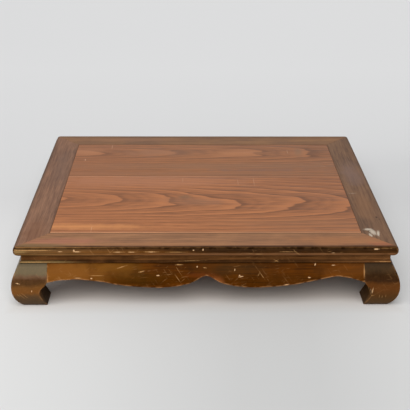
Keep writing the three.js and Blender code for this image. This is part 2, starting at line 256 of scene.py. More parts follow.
def round_arrises(mesh, name, rounding):
    """The finished object: arrises rounded as by hand sanding, normals even, modifiers applied."""
    mesh.shade_smooth()
    piece = bpy.data.objects.new(name, mesh)
    bpy.context.scene.collection.objects.link(piece)
    bevel = piece.modifiers.new("sanded arrises", "BEVEL")
    bevel.width = rounding
    bevel.segments = 2
    bevel.limit_method = "ANGLE"
    bevel.angle_limit = arris_angle
    bevel.use_clamp_overlap = False
    bevel.harden_normals = True
    graph = bpy.context.evaluated_depsgraph_get()
    finished = bpy.data.meshes.new_from_object(piece.evaluated_get(graph), depsgraph=graph)
    piece.modifiers.clear()
    piece.data = finished
    finished.name = name
    return piece


def fit(piece, node, material):
    """The finished piece takes its CAD node's place."""
    piece.data.materials.clear()
    piece.data.materials.append(material)
    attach(piece, "root")
    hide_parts(node)


front_wood = board_wood(
    "front board, plain-sawn stained hardwood", "774f38", "b0734c",
    {"heart": -99, "tilt": -0.035, "depth": 54.6, "taper": 0.08, "ring": 10, "first": 39.0, "wander": 7,
     "oval": 0.8,
     "swellings": [((0, -62, 50, 25, 0), 3.2), ((62, -125, 60, 30, 0), -2.0), ((205, -100, 70, 40, 0), -3.0),
                   ((320, -105, 60, 40, 0), -1.2), ((-200, -60, 120, 25, 0), -1.6)]},
    [((-45, -73, 14, 9, 0), "755a44", 0.7), ((-20, -98, 60, 18, -8), "8c654e", 0.5),
     ((-360, -90, 240, 260, 0), "87583d", 0.4), ((-255, -222, 120, 12, 0), "cb8b58", 0.5),
     ((-150, 15, 220, 30, 0), "b27b5d", 0.35), ((210, -212, 170, 26, 0), "94694c", 0.35)],
    [(-236, -232, 0.6, 14, 0), (300, -52, 18, 0.6, 1), (115, 10, 0.7, 24, 0), (78, 8, 0.6, 18, 0),
     (97, -12, 18, 0.6, 0), (-50, 22, 0.5, 14, 0)])
back_wood = board_wood(
    "back board, plain-sawn stained hardwood", "744e37", "a36d4a",
    {"heart": 193, "tilt": 0.0, "depth": 41.4, "taper": 0.0625, "ring": 11, "first": 26.0, "wander": 9,
     "oval": 1.0,
     "swellings": [((-40, 200, 60, 30, 0), -1.8), ((130, 190, 60, 40, 0), -2.2)]},
    [((0, 105, 420, 20, 0), "85644e", 0.5), ((0, 60, 420, 12, 0), "8a654e", 0.5),
     ((150, 82, 120, 7, 1), "7d5e50", 0.6), ((-360, 150, 220, 200, 0), "7f5743", 0.4),
     ((-110, 196, 90, 22, 0), "8c6751", 0.4), ((95, 192, 60, 14, 0), "b07852", 0.5),
     ((240, 203, 9, 26, 0), "7c624c", 0.5), ((-290, 200, 38, 20, 0), "b07a58", 0.4)],
    [(-291, 147, 1.5, 6, 8), (-232, 235, 0.7, 16, 0), (212, 200, 0.7, 14, 0), (300, 130, 9, 0.6, -20),
     (309, 118, 7, 0.6, 15), (290, 105, 8, 0.6, -8)])
for node, wood in (("front_board", front_wood), ("back_board", back_wood)):
    fit(soften(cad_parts[node].data, node + "_planed", 0.5 * MM), node, wood)

# The mitred top frame: two long rails and two end rails, tenoned together inside the mitres.
# Straight-grained stained hardwood, its outer edge moulded with a fillet, a round thumb and a bead.
# The top is rubbed nearly bare of lacquer; the moulding keeps its dark coat, chipped along the arrises.
panel_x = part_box("front_board")[1][0] - board_tongue
joint_gap = 0.3 * MM  # play between the frame and the boards' shoulders, at the ends
face_margin = 0.3 * MM  # what lies within this of the top's face counts as part of it
frame_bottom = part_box("front_rail")[0][2]
moulding_reach = 5 * MM
half_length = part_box("right_end_rail")[1][0] - moulding_reach
frame_width = half_length - joint_gap - panel_x
corner_radius = 12 * MM


def smooth(points, steps):
    """A Catmull-Rom curve through 2-D points, with steps equal stretches of its parameter."""
    points = np.array(points, float)
    padded = np.vstack([points[0], points, points[-1]])
    at = np.linspace(0, len(points) - 1, steps + 1)
    start = np.minimum(at.astype(int), len(points) - 2)
    t = (at - start)[:, None]
    a, b, c, d = (padded[start + i] for i in range(4))
    return 0.5 * (2 * b + (c - a) * t + (2 * a - 5 * b + 4 * c - d) * t**2 + (3 * b - a - 3 * c + d) * t**3)


def evenly(points, spacing):
    """The closed outline's corners kept, and its long straight stretches divided."""
    ring = []
    for start, end in zip(points, np.roll(points, -1, axis=0)):
        steps = max(1, round(math.dist(start, end) / spacing))
        ring += [start + (end - start) * i / steps for i in range(steps)]
    return np.array(ring)


def inside(tree, half_x, half_y):
    """How far inside a rectangle about the middle of the top a point lies, seen from above."""
    place = add(tree, "ShaderNodeTexCoord").outputs["Object"]
    axes = add(tree, "ShaderNodeSeparateXYZ", {0: place}).outputs
    margins = []
    for axis, half in (("X", half_x), ("Y", half_y)):
        out = add(tree, "ShaderNodeMath", {0: axes[axis]}, operation="ABSOLUTE")
        margins.append(add(tree, "ShaderNodeMath", {0: half, 1: out}, operation="SUBTRACT"))
    return add(tree, "ShaderNodeMath", {0: margins[0], 1: margins[1]}, operation="MINIMUM").outputs[0]


def edge_moulding():
    """The rail's section as (inset, height): its moulded edge downwards, then its flat underside and back."""
    fillet = [(0, 0), (-0.8, -1), (-0.9, -3.6), (0.3, -4.2)]
    thumb = smooth([(-1.8, -4.7), (-4, -7), (-5, -10), (-4.7, -12)], 14)
    bead = smooth([(-4.2, -12.5), (-5, -13.8), (-4.3, -16.4), (-2.2, -18.8), (1.2, -20.2), (5, -20.5)], 18)
    moulded = np.vstack([fillet, thumb, bead]) * MM + (0, top_height)
    return np.vstack([moulded, (frame_width, frame_bottom), (frame_width, top_height)])


def mitred_sweep():
    """Geometry Nodes: a section swept along X, each of its points running to its own inset at the mitre."""
    tree = bpy.data.node_groups.new("mitred strip", "GeometryNodeTree")
    tree.interface.new_socket("Section", in_out="INPUT", socket_type="NodeSocketGeometry")
    for label in ("Half run", "Half across", "Spacing"):
        tree.interface.new_socket(label, in_out="INPUT", socket_type="NodeSocketFloat")
    tree.interface.new_socket("Finish", in_out="INPUT", socket_type="NodeSocketMaterial")
    tree.interface.new_socket("Strip", in_out="OUTPUT", socket_type="NodeSocketGeometry")
    given = add(tree, "NodeGroupInput").outputs
    run = add(tree, "ShaderNodeMath", {0: given["Half run"], 1: given["Spacing"]}, operation="DIVIDE")
    stations = add(tree, "ShaderNodeMath", {0: run, 1: 2.0, 2: 1.0}, operation="MULTIPLY_ADD")
    line = add(tree, "GeometryNodeCurvePrimitiveLine", {"Start": (-1, 0, 0), "End": (1, 0, 0)})
    path = add(tree, "GeometryNodeResampleCurve", {"Curve": line, "Count": stations})
    path = add(tree, "GeometryNodeSetCurveNormal", {"Curve": path}, mode="Z_UP")
    section = add(tree, "GeometryNodeMeshToCurve", {"Mesh": given["Section"]})
    swept = add(tree, "GeometryNodeCurveToMesh", {"Curve": path, "Profile Curve": section, "Fill Caps": True})
    place = add(tree, "ShaderNodeSeparateXYZ", {0: add(tree, "GeometryNodeInputPosition")}).outputs
    inset = place["Y"]
    reach = add(tree, "ShaderNodeMath", {0: given["Half run"], 1: inset}, operation="SUBTRACT")
    along = add(tree, "ShaderNodeMath", {0: place["X"], 1: reach}, operation="MULTIPLY")
    across = add(tree, "ShaderNodeMath", {0: inset, 1: given["Half across"]}, operation="SUBTRACT")
    moved = add(tree, "ShaderNodeCombineXYZ", {"X": along, "Y": across, "Z": place["Z"]})
    mitred = add(tree, "GeometryNodeSetPosition", {"Geometry": swept, "Position": moved})
    real = add(tree, "GeometryNodeRealizeInstances", {"Geometry": mitred})
    dressed = add(tree, "GeometryNodeSetMaterial", {"Geometry": real, "Material": given["Finish"]})
    add(tree, "NodeGroupOutput", {"Strip": dressed})
    return tree


def sweep(section, name, half_run, half_across, spacing, quarter_turns, finish):
    """One mitred strip from its (inset, height) section, turned to its side of the table."""
    ring = [(-inset, -height, 0) for inset, height in section]
    mesh = bpy.data.meshes.new(name)
    mesh.from_pydata(ring, [(i, (i + 1) % len(ring)) for i in range(len(ring))], [])
    piece = bpy.data.objects.new(name, mesh)
    bpy.context.scene.collection.objects.link(piece)
    nodes = piece.modifiers.new("mitred strip", "NODES")
    nodes.node_group = strip_tree
    given = {"Half run": half_run, "Half across": half_across, "Spacing": spacing, "Finish": finish}
    for item in strip_tree.interface.items_tree:
        if item.name in given:
            nodes[item.identifier] = given[item.name]
    graph = bpy.context.evaluated_depsgraph_get()
    swept = bpy.data.meshes.new_from_object(piece.evaluated_get(graph), depsgraph=graph)
    bpy.data.objects.remove(piece)
    swept.transform(Matrix.Rotation(quarter_turns * math.pi / 2, 4, "Z"))
    return swept


def ease_corners(mesh):
    """Rounds the frame's four corners, seen from above: each square line round a corner becomes an arc."""
    centre_x = half_length + moulding_reach - corner_radius
    centre_y = half_depth + moulding_reach - corner_radius
    for vertex in mesh.vertices:
        x, y = vertex.co.x, vertex.co.y
        past = Vector((max(0, abs(x) - centre_x), max(0, abs(y) - centre_y)))
        if min(past) > 0:
            past *= max(past) / past.length
            vertex.co.x = math.copysign(centre_x + past.x, x)
            vertex.co.y = math.copysign(centre_y + past.y, y)


def mark_arrises(mesh, below):
    """Stores each point's distance to the nearest outward arris under that height: a finish wears there
    first."""
    shape = bmesh.new()
    shape.from_mesh(mesh)
    bmesh.ops.recalc_face_normals(shape, faces=shape.faces)
    shape.to_mesh(mesh)
    sharp = [edge for edge in shape.edges if edge.is_convex and edge.calc_face_angle(0) > arris_angle
             and max(vertex.co.z for vertex in edge.verts) < below]
    ends = {vertex for edge in sharp for vertex in edge.verts}
    known = KDTree(len(ends))
    for index, vertex in enumerate(ends):
        known.insert(vertex.co, index)
    known.balance()
    distances = [known.find(vertex.co)[2] for vertex in shape.verts]
    mesh.attributes.new("from_arris", "FLOAT", "POINT").data.foreach_set("value", distances)
    shape.free()


def hairlines(tree, along, turn):
    """Sparse scratches, all turned alike, on faces to the front, or to the ends where the grain runs along Y.
    Real ones are hair-fine; these are drawn as wide as the render needs to show them."""
    scratch_length, scratch_width = 28 * MM, 1.3 * MM
    turned = [0, 0, 0]
    turned[1 - along % 2] = math.radians(turn)
    place = add(tree, "ShaderNodeTexCoord").outputs["Object"]
    local = add(tree, "ShaderNodeMapping", {"Vector": place, "Rotation": turned})
    stretch = (1 / scratch_length, 1 / scratch_length, 1 / scratch_width)
    drawn = add(tree, "ShaderNodeVectorMath", {0: local, 1: stretch}, operation="MULTIPLY")
    noise = add(tree, "ShaderNodeTexNoise", {"Vector": drawn, "Scale": 1, "Detail": 1})
    return add(tree, "ShaderNodeMapRange", {"Value": noise, "From Min": 0.7, "From Max": 0.76}).outputs[0]


def lacquer(name, along, dark, light, stains_and_painted_light=(), chips=(), rubs_and_highlights=(), grooves=(), wear=0.5, hair=0.55,
            zones=None):
    """Old brown lacquer over stained hardwood: golden where it is thin and nearly black where it pools. It is
    rubbed to golden brown along the arrises, nicked to pale wood in a few places, and crossed by hairline
    scratches. Painted sheen, highlights and shade lie in its stains and rubs, and painted shade along its
    groove lines."""
    rubbed_width = 3.2 * MM
    material, tree, shader = blank(name)
    fine = fibres(tree, along, fibre_width, fibre_length)
    streaks = fibres(tree, along, 4 * MM, 90 * MM)
    pools = patches(tree, 40 * MM)
    tone = swings(tree, 0.5, (fine, 0.8), (streaks, 1.1), (pools, 1.1))
    colour = blend(tree, tone, srgb(dark), light)
    if zones:
        colour = zones(tree, colour)
    colour = tinted_by_marks(tree, colour, stains_and_painted_light, "front")
    # Dark lines at the given heights: painted shade in the quirks, grooves and notches and under the frame,
    # and on the long moulding darker lacquer over the upper thumb.
    for height, half, share in grooves:
        colour = blend(tree, band(tree, "Z", height * MM, half * MM, share), colour, "1a0d04")
    distance = add(tree, "ShaderNodeAttribute", attribute_name="from_arris").outputs["Fac"]
    close = add(tree, "ShaderNodeMapRange",
                {"Value": distance, "From Max": rubbed_width, "To Min": 1.0, "To Max": 0.0})
    broken = add(tree, "ShaderNodeMapRange",
                 {"Value": patches(tree, 12 * MM), "From Min": 0.42, "From Max": 0.56})
    worn = add(tree, "ShaderNodeMath", {0: close, 1: broken}, operation="MULTIPLY")
    colour = blend(tree, worn, colour, "a5764a", wear)
    used = add(tree, "ShaderNodeMapRange",
               {"Value": patches(tree, 60 * MM), "From Min": 0.45, "From Max": 0.6})
    for turn in (-52, 38, 8):
        scratches = add(tree, "ShaderNodeMath", {0: hairlines(tree, along, turn), 1: used},
                        operation="MULTIPLY")
        colour = blend(tree, scratches, colour, "a87c4e", hair)
    # Rubbed spots, and on the long moulding and waist painted highlight lines near the ends.
    if rubs_and_highlights:
        colour = blend(tree, touched(tree, rubs_and_highlights, "front"), colour, "b08553", 0.6)
    nicks = add(tree, "ShaderNodeMapRange",
                {"Value": patches(tree, 3 * MM, 4), "From Min": 0.76, "From Max": 0.79})
    bare = nicks.outputs[0]
    if chips:
        bare = add(tree, "ShaderNodeMath", {0: nicks, 1: touched(tree, chips, "front")},
                   operation="MAXIMUM").outputs[0]
    colour = blend(tree, bare, colour, "cfa67a", 0.78)
    tree.links.new(colour, shader.inputs["Base Color"])
    rough = add(tree, "ShaderNodeMath", {0: bare, 1: 0.3, 2: swings(tree, 0.34, (pools, 0.3))},
                operation="MULTIPLY_ADD")
    tree.links.new(rough.outputs[0], shader.inputs["Roughness"])
    # The bare nicks lie deeper than the fibres.
    skin = add(tree, "ShaderNodeMath", {0: bare, 1: -3.0, 2: fine}, operation="MULTIPLY_ADD")
    relief = add(tree, "ShaderNodeBump", {"Height": skin, "Strength": 0.3, "Distance": 0.15 * MM})
    tree.links.new(relief.outputs[0], shader.inputs["Normal"])
    # Its gloss is worn away: the photo shows next to no reflection, and a new coat's would veil the brown.
    shader.inputs["Specular IOR Level"].default_value = 0.01
    return material


def rubbed_wood(name, along, dark, light, stains_and_painted_light=(), scuffs=(), holes=(), rim=0.0, rim_tint="4a3b30",
                rim_reach=6, front_joint_dirt_and_shade=0.0):
    """Straight-grained stained hardwood, its lacquer rubbed away by use: long streaks, hardly any sheen, dirt
    and painted shade along the joint to the boards, and a darker rim, rim_reach millimetres wide, where
    lacquer is left."""
    rim_fade = 5  # millimetres
    material, tree, shader = blank(name)
    fine = fibres(tree, along, fibre_width, fibre_length)
    broad = fibres(tree, along, 5 * MM, 140 * MM)
    worn = patches(tree, 80 * MM)
    tone = swings(tree, 0.5, (fine, 1.9), (broad, 1.8), (worn, 1.0))
    colour = blend(tree, tone, srgb(dark), light)
    edge = add(tree, "ShaderNodeMapRange",
               {"Value": inside(tree, half_length, half_depth), "From Min": (rim_reach - rim_fade) * MM,
                "From Max": rim_reach * MM, "To Min": 1.0, "To Max": 0.0})
    colour = blend(tree, edge, colour, rim_tint, rim)
    colour = tinted_by_marks(tree, colour, stains_and_painted_light, "top")
    # Dirt and painted shade along the joint to the boards.
    joint = add(tree, "ShaderNodeMapRange",
                {"Value": inside(tree, panel_x, panel_y), "From Min": -4.5 * MM, "From Max": -1.5 * MM})
    colour = blend(tree, joint, colour, "5c4130", 0.55)
    colour = blend(tree, band(tree, "Y", -panel_y - 3 * MM, 2.5 * MM, front_joint_dirt_and_shade), colour, "5c4130")
    if scuffs:
        colour = blend(tree, touched(tree, scuffs, "top"), colour, "c9bba8", 0.75)
    if holes:
        colour = blend(tree, touched(tree, holes, "top"), colour, "2c1f18", 0.85)
    tree.links.new(colour, shader.inputs["Base Color"])
    tree.links.new(swings(tree, 0.5, (worn, 0.2)), shader.inputs["Roughness"])
    relief = add(tree, "ShaderNodeBump", {"Height": fine, "Strength": 0.25, "Distance": 0.2 * MM})
    tree.links.new(relief.outputs[0], shader.inputs["Normal"])
    shader.inputs["Specular IOR Level"].default_value = 0.09  # nearly matt, as on the boards
    return material


strip_tree = mitred_sweep()
long_run, end_run = (half_length, half_depth), (half_depth, half_length)
rails = {
    "front_rail": (*long_run, 0, 0),
    "right_end_rail": (*end_run, 1, 1),
    "back_rail": (*long_run, 2, 0),
    "left_end_rail": (*end_run, 3, 1),
}
rail_tops = {
    "front_rail": rubbed_wood(
        "front rail top, rubbed stained hardwood", 0, "71503a", "9f7251",
        [((-290, -288, 80, 12, 0), "a86c56", 0.5), ((-120, -302, 160, 7, 0), "a8764f", 0.4),
         ((270, -285, 90, 18, 0), "a87048", 0.5), ((350, -300, 25, 8, 0), "a3563c", 0.3),
         # The last stain makes the dark rim paler at the left end: a painted highlight along the arris.
         ((-350, -306, 70, 7, 0), "755a3c", 0.85)],
        rim=0.95, rim_tint="2c1708", rim_reach=7.5, front_joint_dirt_and_shade=0.6),
    "right_end_rail": rubbed_wood(
        "right end rail top, rubbed stained hardwood", 1, "574031", "816149",
        [((350, 60, 20, 60, 0), "75605a", 0.5), ((345, -120, 18, 60, 0), "855f42", 0.4)],
        [(336, -236, 9, 5, 0), (343, -248, 6, 14, 12), (353, -254, 3, 13, -8), (336, -262, 3, 8, 10),
         (334, -54, 9, 0.6, 2)],
        [(364, -179, 2.2, 4, 0), (368, -188, 1.2, 2, 0)], rim=0.6),
    "back_rail": rubbed_wood(
        "back rail top, rubbed stained hardwood", 0, "674a38", "8d6849",
        [((0, 306, 300, 6, 0), "5c4536", 0.5), ((-200, 285, 120, 12, 0), "946a4f", 0.4)], rim=0.5),
    "left_end_rail": rubbed_wood(
        "left end rail top, rubbed stained hardwood", 1, "604537", "8f6a53",
        [((-350, -250, 22, 50, 0), "6c4630", 0.5), ((-345, 100, 16, 90, 0), "6e5548", 0.4)], rim=0.6),
}
# Painted sheen: the long moulding is painted lighter and golden at its left end, where the light from the
# left falls.
painted_sheen_left_end = ((-350, 127, 140, 40, 0), "725230", 0.75)
dark_run = ((90, 133, 330, 8, 0), "231204", 0.75)
light_bead = ((90, 123, 370, 3.5, 0), "8f6240", 0.42)
long_edge = lacquer(
    "moulding of the long rails, brown lacquer on hardwood", 0, "1d0e04", "65401e",
    [dark_run, light_bead, painted_sheen_left_end, ((-180, 128, 110, 5, 0), "7a4a1c", 0.5),
     # The stain at -374 is a painted highlight on the thumb at the left corner.
     ((-374, 129, 16, 4, 0), "94784c", 0.7), ((-365, 120.5, 36, 4, 0), "4a3214", 0.6)],
    [(-290, 129.5, 5, 0.7, 0), (-256, 129.4, 7, 0.9, 0), (-262, 131, 1.5, 2.4, 30), (338, 133, 5, 0.9, 0),
     (-26, 131.8, 2, 0.8, 0), (-7, 132.5, 1.4, 1.2, 0), (-175, 128.6, 6, 0.5, 0), (-148, 128.6, 5, 0.5, 0),
     (-110, 128.8, 7, 0.5, 0), (252, 126.3, 3, 0.8, 0)],
    # Rubs, and two painted highlight lines along the thumb: at -345 by the left end and at 357 by the right
    # end.
    [(-345, 131.8, 38, 0.8, 0), (-175, 128.6, 12, 0.9, 0), (-148, 128.6, 9, 0.8, 0),
     (-110, 129.0, 14, 0.9, 0), (-60, 128.4, 20, 0.6, 0), (357, 134.2, 24, 0.6, 0), (104, 124, 7, 0.6, 0),
     (160, 129, 14, 0.5, 0), (180, 126.5, 12, 0.4, -40)],
    # Dark lines: painted shade in the quirk under the fillet and in the notch above the bead, and darker
    # lacquer over the upper thumb.
    [(134.4, 2.3, 0.95), (131, 4, 0.4), (126.8, 1.0, 0.6)], wear=0.1)
end_edge = lacquer(
    "moulding of the end rails, brown lacquer on hardwood", 1, "1d0e04", "65401e",
    grooves=[(133.9, 1.9, 0.95), (125.7, 1.0, 0.6)], wear=0.3)
for node, (run, across, turns, along) in rails.items():
    edge = end_edge if along else long_edge
    mesh = sweep(evenly(edge_moulding(), 6 * MM), node + "_moulded", run, across, 3 * MM, turns, edge)
    ease_corners(mesh)
    mark_arrises(mesh, top_height + face_margin)
    rail = round_arrises(mesh, node + "_moulded", 0.35 * MM)
    fit(rail, node, edge)
    rail.data.materials.append(rail_tops[node])
    for face in rail.data.polygons:
        face.material_index = int(face.normal.z > 0.9 and face.center.z > top_height - face_margin)

# Two battens across the underside of the boards, of the same hardwood, left without lacquer.
# They slide into dovetailed grooves and keep the boards flat.
plain_wood = rubbed_wood("battens, unfinished stained hardwood", 1, "4d3a2c", "8a6b52")
for node in ("left_batten", "right_batten"):
    fit(soften(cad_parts[node].data, node + "_planed", 0.5 * MM), node, plain_wood)

# The recessed waist: four mitred strips, keyed by tongues to the frame and the aprons, with a bead along the
# foot. Hardwood under brown lacquer, with painted shade in the recess under the frame and in the groove over
# the bead; on the long strips painted shade darkens the bead along its middle and a painted sheen lights its
# ends.
waist_inset = 9 * MM
waist_back = 23 * MM
waist_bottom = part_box("front_waist")[0][2]


def waist_section():
    """The strip's section as (inset, height): its face downwards, its bead, then its underside and back."""
    low = waist_bottom
    high = frame_bottom
    bead = smooth([(8.6, 4.5), (6.5, 2.5), (8, 0)], 14) * MM + (0, low)
    return np.vstack([[(waist_inset, high), (waist_inset + 0.3 * MM, low + 5.2 * MM)], bead,
                      [(waist_back, low), (waist_back, high)]])


long_waist = lacquer(
    "waist along the length, brown lacquer on hardwood", 0, "301a0a", "784d28",
    # The first two stains are painted light: painted shade along the bead's middle and a painted sheen at its
    # left end.
    [((20, 99, 290, 3, 0), "1c0e04", 0.75), ((-350, 99, 70, 3, 0), "857048", 0.65),
     ((340, 106, 80, 12, 0), "94633a", 0.25)],
    # The rubs at -345 and 356 are painted highlight lines on the bead's ends; the others are scribbles and
    # scratches.
    rubs_and_highlights=[(-345, 99.8, 27, 0.6, 0), (356, 100, 15, 0.6, 0), (-30, 101.6, 26, 0.4, 1),
          (141, 101.5, 7, 0.4, 25), (141, 101.5, 7, 0.4, -25)],
    # Painted shade in the groove over the bead and in the recess under the frame.
    grooves=[(102.6, 2.2, 0.7), (117.2, 3, 0.6)], wear=0.0)
end_waist = lacquer(
    "waist along the ends, brown lacquer on hardwood", 1, "2e1707", "70451f", grooves=[(102, 1.2, 0.7)],
    wear=0.0)
for node, (run, across, turns, along) in rails.items():
    side = node.split("_")[0]
    wood = end_waist if along else long_waist
    mesh = sweep(evenly(waist_section(), 5 * MM), side + "_waist_moulded", run, across, 3 * MM, turns, wood)
    mark_arrises(mesh, frame_bottom)
    fit(round_arrises(mesh, side + "_waist_moulded", 0.3 * MM), side + "_waist", wood)

# The four aprons, tenoned into the legs.
# Boards shaped to the legs' bulge and sawn to two long lobes and a pointed cusp, under golden brown lacquer.
bulge_height = 48 * MM
bulge_reach = 12 * MM
shoulder_height = 84 * MM
bulge_radius = 70 * MM
post_width = frame_width  # the legs' posts stand under the frame's corners and are as wide as its rails
apron_thickness = 19 * MM
crest_skew = 2.4  # millimetres; sawn by eye, the right-hand crest is higher by this, the left-hand one lower
wear_top = waist_bottom - 4 * MM  # beside the waist the arrises aren't rubbed


def outer_inset(z):
    """The outer face's inset at height z: an arc up to the shoulder, and a straight slope above it."""
    rise = np.minimum(z, shoulder_height) - bulge_height
    drop = np.sqrt(bulge_radius**2 - rise**2)
    return bulge_radius - drop - bulge_reach + np.maximum(0, z - shoulder_height) * rise / drop


def lower_edge(span, skew):
    """Half of the apron's lower edge, from the cusp in the middle to a leg, as (x, height)."""
    points = [(0, 75.5), (0.03, 72.5), (0.07, 65.2), (0.1, 60.4), (0.13, 57.9), (0.19, 53.8), (0.28, 51),
              (0.36, 51.5), (0.45, 53.4), (0.56, 57.6), (0.66, 63.9), (0.81, 71 + skew), (0.87, 70 + skew),
              (0.93, 67.8 + skew / 2), (1, 62)]
    return smooth([(share * span, height * MM) for share, height in points], 168)


def loft(name, rings):
    """A closed skin over rings of as many points each, both ends filled."""
    count = len(rings[0])
    quads = [(start + i, start + (i + 1) % count, start + count + (i + 1) % count, start + count + i)
             for start in range(0, (len(rings) - 1) * count, count) for i in range(count)]
    last = (len(rings) - 1) * count
    mesh = bpy.data.meshes.new(name)
    mesh.from_pydata(np.vstack(rings), [], [*quads, tuple(range(count)), tuple(range(last, last + count))])
    return mesh


def sawn_apron(name, half_run, half_across, turns):
    """An apron's board between two posts, as thick all over, its lower edge cut to the lobes and the cusp."""
    span = half_run - post_width
    edges = [lower_edge(span, skew) for skew in (-crest_skew, crest_skew)]
    rings = []
    for x in np.linspace(-span, span, 2 * round(span / (2.5 * MM)) + 1):
        edge = edges[int(x > 0)]
        low = np.interp(abs(x), edge[:, 0], edge[:, 1])
        down = np.linspace(waist_bottom, low, 26)
        up = np.linspace(low, waist_bottom, 13)
        front = np.column_stack([outer_inset(down), down])
        back = np.column_stack([outer_inset(up) + apron_thickness, up])
        across = np.linspace(front[-1], back[0], 5)[1:-1]
        above = np.linspace(back[-1], front[0], 5)[1:-1]
        section = np.vstack([front, across, back, above])
        rings.append(np.column_stack([np.full(len(section), x), section[:, 0] - half_across, section[:, 1]]))
    mesh = loft(name, rings)
    mesh.transform(Matrix.Rotation(turns * math.pi / 2, 4, "Z"))
    return mesh


long_apron = lacquer(
    "apron along the length, golden brown lacquer on hardwood", 0, "1c0c00", "572c04",
    # The first stain is a painted sheen: the apron's left end painted lighter and more golden.
    [((-300, 80, 110, 20, 0), "74471a", 0.8), ((-190, 92, 60, 9, 0), "6a4210", 0.5),
     ((-150, 72, 60, 14, 0), "3e2808", 0.4), ((60, 88, 60, 12, 0), "33230e", 0.5),
     ((20, 64, 12, 8, 0), "9c5a30", 0.4), ((150, 68, 70, 10, 0), "43250a", 0.4),
     ((290, 82, 60, 14, 0), "6b3d14", 0.4), ((-10, 76, 25, 5, 0), "6e3414", 0.3)],
    [(-97, 76.2, 3, 1.1, 0), (-18, 91.5, 1.3, 1.2, 0), (57, 86, 1.1, 2.0, -8), (69, 73.6, 4.5, 0.9, 8),
     (67, 76, 1.6, 1.2, 0), (219, 95, 1.0, 2.6, -30), (256, 93.8, 4, 0.6, 0), (207, 71.9, 3, 1.0, 0),
     (-258, 71.5, 6, 0.6, 0), (-230, 70.8, 1.6, 1.2, 0), (161, 57.6, 5, 0.7, 8)],
    [(-55, 95, 8, 1.0, 0), (-3, 89.6, 4, 0.8, -10), (111.5, 76.5, 9, 0.45, -53), (105, 77, 4, 0.35, 60),
     (-130, 83, 6, 1.0, 10), (-170, 91, 10, 0.8, 15), (-220, 76, 14, 0.5, 0),
     (318, 84, 0.7, 10, 0), (265, 70.5, 12, 0.8, -4)],
    wear=0.8)
end_apron = lacquer("apron along the ends, golden brown lacquer on hardwood", 1, "1c0c00", "572c04", wear=0.6)
for node, (run, across, turns, along) in rails.items():
    side = node.split("_")[0]
    wood = end_apron if along else long_apron
    mesh = sawn_apron(side + "_apron_sawn", run, across, turns)
    mark_arrises(mesh, wear_top)
    fit(round_arrises(mesh, side + "_apron_sawn", 0.8 * MM), side + "_apron", wood)

# The four legs, each cut from one upright block: a bulging knee, a foot that curls inwards, and a post that
# is tenoned into the frame. Upright grain under dark lacquer, greyed on the shoulder, red-brown on the bulge
# and scuffed at the toe. The left legs carry a painted sheen, lighter and greyer on the shoulder, and the
# faces turned in under the table a painted shade.


def knee_colours(tints):
    """The lacquer by height, from the floor up to the waist: each tint with its height in millimetres. The
    tints' borders wander up and down, and away from the bulge, inwards under the table, a painted shade
    darkens the faces."""
    wander = 14 * MM

    def zones(tree, colour):
        place = add(tree, "ShaderNodeTexCoord").outputs["Object"]
        height = add(tree, "ShaderNodeSeparateXYZ", {0: place}).outputs["Z"]
        wandering = add(tree, "ShaderNodeMath", {0: patches(tree, 20 * MM), 1: wander, 2: height},
                        operation="MULTIPLY_ADD")
        share = add(tree, "ShaderNodeMath", {0: wandering, 1: wander / 2}, operation="SUBTRACT")
        share = add(tree, "ShaderNodeMath", {0: share, 1: waist_bottom}, operation="DIVIDE")
        stops = [(low * MM / waist_bottom, srgb(tint)) for low, tint in tints]
        tint = add(tree, "ShaderNodeValToRGB", {0: share}, stops=stops)
        colour = add(tree, "ShaderNodeMix", {0: 0.8, 6: colour, 7: tint}, data_type="RGBA").outputs[2]
        # Painted shade on the faces turned in under the table.
        inner = add(tree, "ShaderNodeMapRange",
                    {"Value": inside(tree, half_length, half_depth), "From Min": 2 * MM, "From Max": 8 * MM})
        return blend(tree, inner, colour, "160c06", 0.55)
    return zones


def carved_leg(name, side_x, side_y):
    """A leg at its corner of the table, square at every height, from the bulging face in to the throat. The
    throat's points are (inset, height) in millimetres."""
    throat = [(55.5, 0), (50.6, 14.1), (45.6, 28.1), (44, 37), (46.6, 45.5), (55, 54.1), (58.2, 58.6),
              (61, 62)]
    inner = smooth(throat, 78) * MM
    heights = np.linspace(0, waist_bottom, 66)
    sections = [(outer_inset(z), np.interp(z, inner[:, 1], inner[:, 0]), z) for z in heights]
    sections += [(waist_back, post_width, z) for z in (waist_bottom, frame_bottom)]
    rings = []
    for outer, far, z in sections:
        corners = np.array([(outer, outer), (far, outer), (far, far), (outer, far)])
        square = evenly(corners, (far - outer) / 16)
        rings.append(np.column_stack([square, np.full(len(square), z)]))
    mesh = loft(name, rings)
    mesh.transform(Matrix.Diagonal((-side_x, -side_y, 1, 1)))
    mesh.transform(Matrix.Translation((side_x * half_length, side_y * half_depth, 0)))
    return mesh


